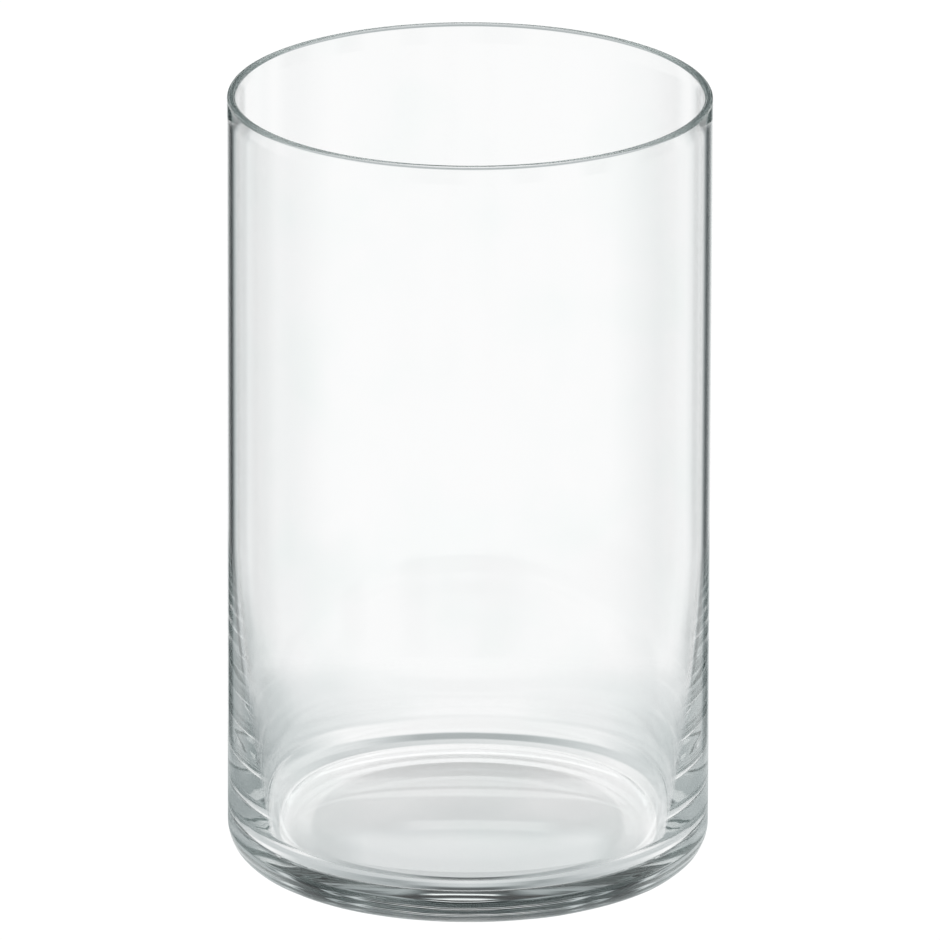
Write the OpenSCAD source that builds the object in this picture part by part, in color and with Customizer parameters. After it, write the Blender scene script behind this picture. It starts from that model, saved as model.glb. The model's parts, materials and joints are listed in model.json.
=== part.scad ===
// Clear glass cylinder vase, made in one piece: a straight thin wall with a
// fire-polished rim, which thickens gently towards a heavy base with a round heel
// and a shallow hollow underneath. Millimetres, +Z up, origin at the centre of the foot.

/* [Vase] */
// Outside diameter
body_d = 121; // [90:1:160]
// Height from the foot to the top of the rim
body_h = 200; // [140:1:320]
// Thickness of the straight upper wall, and of the rim
wall_t = 2.2; // [1.6:0.1:3.2]

/* [Lower wall] */
// Height below which the wall thickens inwards
swell_z = 85; // [70:1:100]
// Radius of the long curve that the inner face follows there
swell_r = 540; // [450:10:800]

/* [Base] */
// Thickness of the glass from the foot up to the inner floor
base_t = 7.5; // [6:0.5:10]
// Outside radius where the wall turns under to the foot
heel_r = 8.5; // [6:0.5:12]
// Inside radius where the wall runs out into the inner floor
cove_r = 8; // [5:0.5:12]
// Width of the flat ring that the vase stands on
foot_w = 6.5; // [3:0.5:8]
// Depth of the hollow inside the foot ring
punt_h = 1.2; // [0.5:0.1:2.5]

/* [Hidden] */
$fn = 180;
// The long curve has a large radius, so it takes more sides to stay smooth
swell_fn = 900;
outer_r = body_d / 2;
inner_r = outer_r - wall_t;
rim_r = wall_t / 2;
rim_z = body_h - rim_r;
foot_outer_r = outer_r - heel_r;
punt_r = foot_outer_r - foot_w;
// Radius of the sphere whose cap is the hollow underneath
punt_sphere_r = (punt_r * punt_r + punt_h * punt_h) / (2 * punt_h);
// Centre of the long curve, level with its upper end
swell_x = inner_r - swell_r;
// Centre of the cove, which touches both the inner floor and the long curve
cove_z = base_t + cove_r;
cove_reach = swell_r - cove_r;
cove_x = swell_x + sqrt(cove_reach * cove_reach - (swell_z - cove_z) * (swell_z - cove_z));
// Height at which the cove meets the long curve
join_z = swell_z - (swell_z - cove_z) * swell_r / cove_reach;

// Half section of the outside of the vase, without its hollows
module outer_section() {
    square([foot_outer_r, rim_z]);
    translate([0, heel_r])
        square([outer_r, rim_z - heel_r]);
    translate([foot_outer_r, heel_r])
        circle(r = heel_r);
    translate([outer_r - rim_r, rim_z])
        circle(r = rim_r);
}

// Half section of the inside, from the inner floor out through the mouth
module inner_section() {
    translate([0, base_t])
        square([cove_x, cove_r]);
    translate([cove_x, cove_z])
        circle(r = cove_r);
    intersection() {
        translate([swell_x, swell_z])
            circle(r = swell_r, $fn = swell_fn);
        translate([0, join_z])
            square([inner_r, swell_z - join_z]);
    }
    translate([0, swell_z])
        square([inner_r, body_h - swell_z]);
}

// Half section of the shallow hollow inside the foot ring
module punt_section() {
    translate([0, punt_h - punt_sphere_r])
        circle(r = punt_sphere_r);
}

// The whole vase: one piece of glass
module vase_body() {
    color([0.86, 0.93, 0.91, 0.35])
        rotate_extrude()
            intersection() {
                difference() {
                    outer_section();
                    inner_section();
                    punt_section();
                }
                square([outer_r, body_h]);
            }
}

vase_body();
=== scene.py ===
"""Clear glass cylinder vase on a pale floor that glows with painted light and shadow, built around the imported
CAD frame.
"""
import json
import math

import bpy
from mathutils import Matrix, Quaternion, Vector, noise

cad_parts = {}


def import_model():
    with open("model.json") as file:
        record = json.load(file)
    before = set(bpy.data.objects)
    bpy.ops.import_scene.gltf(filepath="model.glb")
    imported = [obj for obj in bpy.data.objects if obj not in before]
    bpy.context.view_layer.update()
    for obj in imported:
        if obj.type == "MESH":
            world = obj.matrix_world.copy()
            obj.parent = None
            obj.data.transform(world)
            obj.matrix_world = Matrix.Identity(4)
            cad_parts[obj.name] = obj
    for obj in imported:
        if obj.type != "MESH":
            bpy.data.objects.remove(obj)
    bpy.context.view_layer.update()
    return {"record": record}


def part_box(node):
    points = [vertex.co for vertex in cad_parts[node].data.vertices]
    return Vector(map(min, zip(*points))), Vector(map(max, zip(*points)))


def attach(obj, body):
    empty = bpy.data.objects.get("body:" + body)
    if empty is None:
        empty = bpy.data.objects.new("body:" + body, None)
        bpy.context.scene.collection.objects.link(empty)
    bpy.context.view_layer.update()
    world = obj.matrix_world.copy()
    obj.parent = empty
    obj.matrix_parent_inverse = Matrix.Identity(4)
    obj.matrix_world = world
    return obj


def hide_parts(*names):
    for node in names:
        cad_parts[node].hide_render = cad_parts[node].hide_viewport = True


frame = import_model()

MM = 0.001

# ---------------------------------------------------------------- sizes, from the frame
mounts = {m["name"]: m for m in frame["record"]["mounts"]}
bore = mounts["mouth_bore"]
body_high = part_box("vase_body")[1]
height = body_high.z
outer_r = body_high.x
inner_r = bore["dims"]["r_mm"] * MM
rim_r = (outer_r - inner_r) / 2
rim_z = height - rim_r
swell_z = rim_z - bore["dims"]["length_mm"] * MM

# ---------------------------------------------------------------- sizes of the thick lower wall and base
SWELL_R = 540 * MM
COVE_R = 8 * MM
BASE_T = 7.5 * MM
HEEL_R = 8.5 * MM
FOOT_W = 6.5 * MM
PUNT_H = 1.2 * MM
heel_x = outer_r - HEEL_R
punt_r = heel_x - FOOT_W
swell_x = inner_r - SWELL_R
cove_z = BASE_T + COVE_R
cove_x = swell_x + math.sqrt((SWELL_R - COVE_R) ** 2 - (swell_z - cove_z) ** 2)
join_angle = math.degrees(math.atan2(cove_z - swell_z, cove_x - swell_x))
# Depth of the unevenness in the heel, and the width of one hump of it
HEEL_RIPPLE = 0.2 * MM
RIPPLE_SIZE = 12 * MM
FINE_RIPPLE_SIZE = 0.4 * RIPPLE_SIZE
TURNS = 360

# ---------------------------------------------------------------- the glass itself
IOR = 1.52
ABSORB_COLOR = (0.50, 0.57, 0.56, 1)
ABSORB_DENSITY = 4.0
# The skin of the glass: clear, with faint cloudy patches, this many to the metre. A patch begins where the
# noise passes the first of the two levels, and is at its fullest from the second.
CLOUD_SCALE = 40.0
CLOUD_LEVELS = (0.45, 0.75)
CLEAR_TINT = (1, 1, 1, 1)
CLOUD_TINT = (0.975, 0.99, 0.985, 1)
CLOUD_HAZE = 0.012

# ---------------------------------------------------------------- studio sizes
# Strength of the plain white that the camera sees round the vase
WHITE = 1.04
# The highest level that a row of stops may hold
TOP_LEVEL = 2.0
# Colour of the dimmest light; the brightest is white
DIM_TINT = (0.82, 0.96, 0.98, 1)
# The glowing floor, with painted light and shadow, which fades out from FLOOR_FADE to its edge
FLOOR_R = 130 * MM
FLOOR_FADE = 105 * MM
FLOOR_SIDES = 128
# The thin film of air under the foot, which keeps light in the glass from the floor
FLOOR_GAP = 0.2 * MM

# ---------------------------------------------------------------- camera
# A scratch program fitted the elevation, distance, lens and upright shift to the outline in the photo. The roll
# and the sideways shift began with that fit too, and were corrected by side edges measured in the photo and the
# render.
CAMERA_ELEVATION = math.radians(18.68)
CAMERA_DISTANCE = 4.604
CAMERA_ROLL = 0.003
CAMERA_SENSOR = 36
CAMERA_LENS = 703.9
CAMERA_SHIFT = (0.00116, 0.00437)
CAMERA_CLIP_END = 50
BOUNCES = 256


# ---------------------------------------------------------------- shader nodes
class Nodes:
    """Small helper that adds and links shader nodes."""

    def __init__(self, tree):
        self.tree = tree

    def add(self, kind, **props):
        node = self.tree.nodes.new(kind)
        for key, value in props.items():
            setattr(node, key, value)
        return node

    def feed(self, socket, value):
        if isinstance(value, bpy.types.NodeSocket):
            self.tree.links.new(value, socket)
        else:
            socket.default_value = value

    def math(self, op, *values):
        node = self.add("ShaderNodeMath", operation=op)
        for i, v in enumerate(values):
            self.feed(node.inputs[i], v)
        return node.outputs[0]

    def ease(self, value, lo, hi):
        """0 where value is lo or less, 1 where it is hi or more, with a smooth step between."""
        node = self.add("ShaderNodeMapRange", interpolation_type="SMOOTHSTEP")
        places = {"Value": value, "From Min": lo, "From Max": hi, "To Min": 0.0, "To Max": 1.0}
        for key, v in places.items():
            self.feed(node.inputs[key], v)
        return node.outputs[0]

    def mix(self, factor, a, b):
        """Mix of two numbers."""
        node = self.add("ShaderNodeMix", data_type="FLOAT")
        for key, v in {"Factor": factor, "A": a, "B": b}.items():
            self.feed(node.inputs[key], v)
        return node.outputs[0]

    def mix_color(self, factor, a, b):
        """Mix of two colours, each four numbers."""
        node = self.add("ShaderNodeMix", data_type="RGBA")
        self.feed(node.inputs["Factor"], factor)
        node.inputs[6].default_value = a
        node.inputs[7].default_value = b
        return node.outputs[2]


# ---------------------------------------------------------------- the vase
def arc(cx, cz, r, start, end, steps, ripple=0.0):
    """Points on a circle of the half section, from one angle to another in degrees, rippled in the middle."""
    points = []
    for i in range(steps + 1):
        t = i / steps
        a = math.radians(start + (end - start) * t)
        points.append((cx + r * math.cos(a), cz + r * math.sin(a), ripple * math.sin(math.pi * t)))
    return points


def line(a, b, steps):
    """Points along a straight stretch of the half section, both ends left out."""
    spots = [i / steps for i in range(1, steps)]
    return [(a[0] + (b[0] - a[0]) * t, a[1] + (b[1] - a[1]) * t, 0.0) for t in spots]


def hollow(steps):
    """Points on the shallow hollow underneath, from near the axis out to the foot ring."""
    radii = [punt_r * i / steps for i in range(1, steps + 1)]
    return [(r, PUNT_H * (1 - (r / punt_r) ** 2), 0.0) for r in radii]


def section():
    """The closed half section, from the underside round to the inner floor, as (radius, height, ripple)."""
    pts = hollow(steps=24)
    pts += line((punt_r, 0), (heel_x, 0), steps=3)
    pts += arc(heel_x, HEEL_R, HEEL_R, -90, 0, steps=40, ripple=HEEL_RIPPLE)
    pts += line((outer_r, HEEL_R), (outer_r, rim_z), steps=40)
    pts += arc(outer_r - rim_r, rim_z, rim_r, 0, 180, steps=24)
    pts += line((inner_r, rim_z), (inner_r, swell_z), steps=24)
    pts += arc(swell_x, swell_z, SWELL_R, 0, join_angle, steps=60)
    pts += arc(cove_x, cove_z, COVE_R, join_angle, -90, steps=40)[1:]
    pts += line((cove_x, BASE_T), (0, BASE_T), steps=24)
    return pts


def ripple_at(x, y, z):
    """Unevenness that pressing leaves in thick glass, from 0 to about 1."""
    coarse = noise.noise(Vector((x, y, z)) / RIPPLE_SIZE)
    fine = noise.noise(Vector((x, y, z + RIPPLE_SIZE)) / FINE_RIPPLE_SIZE)
    return 0.5 + 0.6 * coarse + 0.2 * fine


def inward_normals(pts):
    """Direction into the glass at each point of the half section."""
    last = len(pts) - 1
    normals = []
    for i in range(len(pts)):
        a, b = pts[max(i - 1, 0)], pts[min(i + 1, last)]
        dr, dz = b[0] - a[0], b[1] - a[1]
        size = math.hypot(dr, dz)
        normals.append((-dz / size, dr / size))
    return normals


def lathe(name, pts, start_z, end_z, turns):
    """Spins the half section about Z and closes it at the axis, below and above."""
    n = len(pts)
    normals = inward_normals(pts)
    verts = [(0, 0, start_z)]
    for j in range(turns):
        a = 2 * math.pi * j / turns
        c, s = math.cos(a), math.sin(a)
        for (r, z, ripple), (nr, nz) in zip(pts, normals):
            if ripple:
                depth = ripple * ripple_at(r * c, r * s, z)
                r, z = r + nr * depth, z + nz * depth
            verts.append((r * c, r * s, z))
    verts.append((0, 0, end_z))
    top = len(verts) - 1
    faces = []
    for j in range(turns):
        a, b = 1 + j * n, 1 + ((j + 1) % turns) * n
        faces.append((0, b, a))
        faces += [(a + i, b + i, b + i + 1, a + i + 1) for i in range(n - 1)]
        faces.append((a + n - 1, b + n - 1, top))
    mesh = bpy.data.meshes.new(name)
    mesh.from_pydata(verts, [], faces)
    mesh.update()
    mesh.shade_smooth()
    ob = bpy.data.objects.new(name, mesh)
    bpy.context.scene.collection.objects.link(ob)
    return ob


def glass():
    """Clear glass with a faint green-grey body; its skin varies slightly in tint and polish."""
    mat = bpy.data.materials.new("clear_glass")
    mat.use_nodes = True
    nt = mat.node_tree
    n = Nodes(nt)
    shader = nt.nodes["Principled BSDF"]
    co = n.add("ShaderNodeTexCoord")
    cloud = n.add("ShaderNodeTexNoise")
    n.feed(cloud.inputs["Vector"], co.outputs["Object"])
    n.feed(cloud.inputs["Scale"], CLOUD_SCALE)
    patchy = n.ease(cloud.outputs["Fac"], *CLOUD_LEVELS)
    n.feed(shader.inputs["Base Color"], n.mix_color(patchy, CLEAR_TINT, CLOUD_TINT))
    n.feed(shader.inputs["Roughness"], n.math("MULTIPLY", patchy, CLOUD_HAZE))
    n.feed(shader.inputs["IOR"], IOR)
    n.feed(shader.inputs["Transmission Weight"], 1.0)
    absorb = n.add("ShaderNodeVolumeAbsorption")
    n.feed(absorb.inputs["Color"], ABSORB_COLOR)
    n.feed(absorb.inputs["Density"], ABSORB_DENSITY)
    n.feed(nt.nodes["Material Output"].inputs["Volume"], absorb.outputs[0])
    return mat


vase = lathe("vase_glass", section(), PUNT_H, BASE_T, TURNS)
vase.data.materials.append(glass())
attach(vase, "root")
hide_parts("vase_body")


# ---------------------------------------------------------------- studio
# Not all of these levels were set by hand. BACKDROP and the floor's UNDER, RING, EDGE, GAP, NEAR and BESIDE
# follow a scratch program's least-squares fit of the light to the photo's brightness, rounded and then adjusted
# by hand.
# The fit also guided FAR_BELOW, BELOW, FOOT and the rows above the horizon, more loosely. SKIRTING and
# HORIZON were set one by one.

# Brightness round the vase as (compass degrees, level), 0 being straight behind it and + its right.
# Each row is for one elevation. Rows below the horizon come first: they are the floor beyond the disc.
FAR_BELOW = [(-180, 0.72), (180, 0.72)]
BELOW = [(-180, 0.96), (-110, 0.96), (-75, 0.5), (-45, 0.8), (-25, 0.55), (0, 0.45), (25, 0.6), (45, 0.8),
         (75, 0.5), (110, 0.96), (180, 0.96)]
# At the camera's own angle: a lit backdrop with a dark gap at each side, which draws the vase's outline
BACKDROP = [(-180, 1.04), (-125, 1.08), (-105, 0.95), (-80, 0.65), (-68, 0.4), (-55, 0.25), (-46, 0.85),
            (-38, 1.0), (-32, 0.8), (-27, 0.6), (-23, 0.03), (-14, 0.03), (-11, 0.7), (-7, 0.97), (7, 0.97),
            (11, 0.7), (15, 0.25), (18, 0.08), (25, 0.1), (29, 0.8), (34, 1.0), (46, 1.0), (55, 0.8),
            (66, 1.0), (78, 0.6), (88, 0.6), (108, 1.02), (125, 1.0), (150, 1.0), (180, 1.04)]
# At flatter angles: narrower dark gaps, placed to draw the outline from behind and from the sides
SKIRTING = [(-180, 0.85), (-172, 0.5), (-160, 0.5), (-148, 0.98), (66, 0.98), (76, 0.3), (88, 0.3),
            (96, 0.9), (108, 0.95), (114, 0.3), (121, 0.3), (128, 0.98), (142, 0.98), (149, 0.5),
            (156, 0.5), (162, 0.98), (180, 0.85)]
HORIZON = [(-180, 0.95), (-136, 0.95), (-130, 0.3), (-120, 0.3), (-114, 0.95), (-66, 0.95), (-60, 0.3),
           (-50, 0.3), (-44, 0.95), (-28, 0.95), (-23, 0.1), (-15, 0.1), (-10, 0.95), (10, 0.95), (15, 0.1),
           (23, 0.1), (28, 0.95), (44, 0.95), (50, 0.3), (60, 0.3), (66, 0.95), (180, 0.95)]
# Above the horizon: narrow upright strip lights, with black between them, one low strip and one small lamp
LOW_SKY = [(-180, 0.5), (-75, 0.6), (-47, 0.5), (-44, 0.1), (-41, 0.8), (-38, 0.8), (-35, 0.02),
           (-28, 0.02), (-26, 0.9), (-24, 0.02), (-22, 0.02), (-20, 0.9), (-18, 0.02), (18, 0.02),
           (20, 0.9), (22, 0.02), (24, 0.02), (26, 0.9), (28, 0.02), (35, 0.02), (38, 0.8), (41, 0.8),
           (44, 0.1), (47, 0.5), (75, 0.5), (180, 0.4)]
STRIP = [(-180, 0.5), (-75, 0.6), (-45, 0.4), (-38, 0.8), (-35, 0.05), (-28, 0.05), (-20, 0.8), (-14, 0.7),
         (-10, 1.1), (10, 1.1), (14, 0.7), (20, 0.8), (28, 0.05), (35, 0.05), (38, 0.8), (45, 0.4),
         (75, 0.5), (180, 0.4)]
LAMP = [(-180, 0.5), (-75, 0.6), (-47, 0.4), (-40, 0.05), (-18, 0.05), (-13, 0.3), (-8, 0.05), (-6, 0.05),
        (-4, 1.2), (6, 1.2), (8, 0.05), (13, 0.3), (18, 0.05), (40, 0.05), (47, 0.4), (75, 0.5), (180, 0.4)]
QUIET = [(-180, 0.5), (-75, 0.6), (-47, 0.4), (-40, 0.05), (-18, 0.15), (-13, 0.5), (-7, 0.1), (7, 0.1),
         (13, 0.5), (18, 0.15), (40, 0.05), (47, 0.4), (75, 0.5), (180, 0.4)]
MID_SKY = [(-180, 0.1), (-150, 0.2), (-120, 0.9), (-90, 1.0), (-60, 0.8), (-48, 0.5), (-40, 0.1),
           (-29, 0.1), (-26, 0.4), (-12, 0.5), (-7, 0.05), (7, 0.05), (12, 0.5), (26, 0.4), (29, 0.1),
           (40, 0.1), (48, 0.5), (60, 0.8), (90, 1.0), (120, 0.9), (150, 0.2), (180, 0.1)]
HIGH_SKY = [(-180, 0.02), (-75, 0.05), (-60, 0.6), (-45, 0.7), (-25, 0.3), (-12, 0.02), (12, 0.02),
            (25, 0.3), (45, 0.7), (60, 0.6), (75, 0.05), (180, 0.02)]
STEEP_SKY = [(-180, 0.02), (-25, 0.05), (-13, 0.02), (13, 0.02), (25, 0.05), (55, 0.1), (72, 0.9),
             (85, 0.9), (105, 0.1), (180, 0.02)]
OVERHEAD = [(-180, 0.3), (180, 0.3)]
# The rows in order, each with its elevation in degrees
SURROUNDINGS = [(-60, FAR_BELOW), (-34, BELOW), (-27, BACKDROP), (-17, BACKDROP), (-16.6, SKIRTING),
                (-13, SKIRTING), (-8, HORIZON), (-0.8, HORIZON), (1.5, LOW_SKY), (7, LOW_SKY), (8.5, STRIP),
                (11.5, STRIP), (13, LOW_SKY), (20.4, LOW_SKY), (21.2, LAMP), (23, LAMP), (24, QUIET),
                (27, QUIET), (29, MID_SKY), (36, MID_SKY), (41, HIGH_SKY), (57, HIGH_SKY), (63, STEEP_SKY),
                (72, STEEP_SKY), (80, OVERHEAD)]

# Painted light and shadow on the glowing floor, by compass direction, in rings: painted rings of the light that
# the base gathers, and painted shadow round the foot
MIDDLE = [(-180, 0.84), (180, 0.84)]
UNDER = [(-180, 0.76), (-120, 0.78), (-60, 0.95), (60, 0.95), (120, 0.78), (180, 0.76)]
FOOT = [(-180, 0.1), (-172, 0.1), (-158, 0.45), (-140, 0.5), (-124, 0.7), (-90, 1.0), (0, 1.3), (90, 1.0),
        (124, 0.75), (140, 0.5), (158, 0.45), (172, 0.1), (180, 0.1)]
RING = [(-180, 0.65), (-172, 0.6), (-158, 0.35), (-142, 0.5), (-124, 0.65), (-110, 1.1), (-75, 1.25),
        (0, 1.1), (75, 1.2), (110, 1.1), (124, 0.75), (142, 0.6), (158, 0.35), (172, 0.6), (180, 0.65)]
EDGE = [(-180, 0.8), (-158, 0.65), (-112, 0.65), (-75, 0.9), (-40, 0.7), (0, 0.8), (50, 1.0), (75, 0.95),
        (112, 0.65), (158, 0.65), (180, 0.8)]
GAP = [(-180, 0.1), (-145, 0.4), (-124, 1.0), (-30, 0.8), (-12, 0.45), (12, 0.45), (30, 0.65), (75, 0.8),
       (124, 1.0), (145, 0.4), (180, 0.1)]
NEAR = [(-180, 0.15), (-140, 0.3), (-112, 0.7), (-75, 0.4), (-50, 0.65), (-30, 1.0), (30, 0.95), (50, 0.75),
        (75, 0.55), (112, 1.1), (140, 0.3), (180, 0.15)]
BESIDE = [(-180, 1.3), (-112, 0.9), (-82, 0.3), (-65, 0.35), (-50, 0.6), (-30, 0.8), (-8, 0.95), (8, 0.95),
          (30, 0.85), (50, 0.7), (72, 0.45), (90, 0.5), (112, 1.0), (180, 1.3)]
# The rings in order, each with its distance from the middle in millimetres
FLOOR = [(5, MIDDLE), (25, UNDER), (40, UNDER), (41.5, FOOT), (47, FOOT), (50.5, RING), (53, RING),
         (55, EDGE), (59, EDGE), (61, GAP), (65, GAP), (67, NEAR), (73, NEAR), (78, BESIDE)]


def ramp_stops(ramp, stops):
    """Fills a colour ramp with grey stops given as (degrees, level), as shares of the top level."""
    while len(ramp.elements) > 1:
        ramp.elements.remove(ramp.elements[-1])
    for i, (deg, level) in enumerate(stops):
        place = (deg + 180) / 360
        el = ramp.elements.new(place) if i else ramp.elements[0]
        el.position = place
        share = level / TOP_LEVEL
        el.color = (share, share, share, 1)


def chart(n, x, y, other, rows):
    """Brightness from rows of stops: along a row by compass direction of x, y, from row to row by other."""
    compass = n.math("DEGREES", n.math("ARCTAN2", x, y))
    spread = n.math("DIVIDE", n.math("ADD", compass, 180.0), 360.0)
    value = None
    before = None
    made = {}
    for place, stops in rows:
        if id(stops) not in made:
            node = n.add("ShaderNodeValToRGB")
            ramp_stops(node.color_ramp, stops)
            n.feed(node.inputs[0], spread)
            made[id(stops)] = n.math("MULTIPLY", node.outputs[0], TOP_LEVEL)
        row = made[id(stops)]
        value = row if value is None else n.mix(n.ease(other, before, place), value, row)
        before = place
    return value


def tint(n, level):
    """Cool grey where it is dim, white where it is bright."""
    return n.mix_color(level, DIM_TINT, (1, 1, 1, 1))


def floor():
    """The glowing floor near the vase, with painted light and painted shadow, which the glass shows; past its
    edge it fades into the surroundings.
    """
    bpy.ops.mesh.primitive_circle_add(
        vertices=FLOOR_SIDES, radius=FLOOR_R, fill_type="NGON", location=(0, 0, -FLOOR_GAP))
    ob = bpy.context.object
    ob.name = "floor"
    # Painted light and shadow: the floor glows, brighter in rings where the base gathers light and darker in a
    # painted shadow round the foot
    mat = bpy.data.materials.new("floor_painted_light_and_shadow")
    mat.use_nodes = True
    nt = mat.node_tree
    nt.nodes.remove(nt.nodes["Principled BSDF"])
    n = Nodes(nt)
    co = n.add("ShaderNodeTexCoord")
    sep = n.add("ShaderNodeSeparateXYZ")
    n.feed(sep.inputs[0], co.outputs["Object"])
    x, y = sep.outputs["X"], sep.outputs["Y"]
    far = n.math("SQRT", n.math("ADD", n.math("MULTIPLY", x, x), n.math("MULTIPLY", y, y)))
    level = chart(n, x, y, n.math("DIVIDE", far, MM), FLOOR)
    glow = n.add("ShaderNodeEmission")
    n.feed(glow.inputs["Color"], tint(n, level))
    n.feed(glow.inputs["Strength"], level)
    clear = n.add("ShaderNodeBsdfTransparent")
    blend = n.add("ShaderNodeMixShader")
    n.feed(blend.inputs[0], n.ease(far, FLOOR_FADE, FLOOR_R))
    n.feed(blend.inputs[1], glow.outputs[0])
    n.feed(blend.inputs[2], clear.outputs[0])
    n.feed(nt.nodes["Material Output"].inputs["Surface"], blend.outputs[0])
    ob.data.materials.append(mat)
    ob.visible_camera = False


def world():
    """The surroundings that the glass shows; seen directly they are plain white, like the floor."""
    w = bpy.data.worlds.new("studio")
    bpy.context.scene.world = w
    w.use_nodes = True
    n = Nodes(w.node_tree)
    bg = w.node_tree.nodes["Background"]
    co = n.add("ShaderNodeTexCoord")
    sep = n.add("ShaderNodeSeparateXYZ")
    n.feed(sep.inputs[0], co.outputs["Generated"])
    elevation = n.math("DEGREES", n.math("ARCSINE", sep.outputs["Z"]))
    level = chart(n, sep.outputs["X"], sep.outputs["Y"], elevation, SURROUNDINGS)
    path = n.add("ShaderNodeLightPath")
    seen = n.mix(path.outputs["Is Camera Ray"], level, WHITE)
    n.feed(bg.inputs["Strength"], seen)
    n.feed(bg.inputs["Color"], tint(n, seen))


floor()
world()


# ---------------------------------------------------------------- camera and render settings
def camera():
    """Camera on the front side, looking down a little at the middle of the vase."""
    cam = bpy.data.cameras.new("camera")
    ob = bpy.data.objects.new("camera", cam)
    bpy.context.scene.collection.objects.link(ob)
    back = Vector((0, -math.cos(CAMERA_ELEVATION), math.sin(CAMERA_ELEVATION)))
    ob.location = Vector((0, 0, height / 2)) + back * CAMERA_DISTANCE
    ob.rotation_mode = "QUATERNION"
    ob.rotation_quaternion = (-back).to_track_quat("-Z", "Y") @ Quaternion((0, 0, 1), CAMERA_ROLL)
    cam.sensor_width = CAMERA_SENSOR
    cam.lens = CAMERA_LENS
    cam.shift_x, cam.shift_y = CAMERA_SHIFT
    cam.clip_end = CAMERA_CLIP_END
    bpy.context.scene.camera = ob


camera()
scene = bpy.context.scene
scene.view_settings.view_transform = "Standard"
scene.cycles.max_bounces = BOUNCES
scene.cycles.transmission_bounces = BOUNCES
scene.cycles.glossy_bounces = BOUNCES
scene.cycles.diffuse_bounces = 4
scene.cycles.use_denoising = True
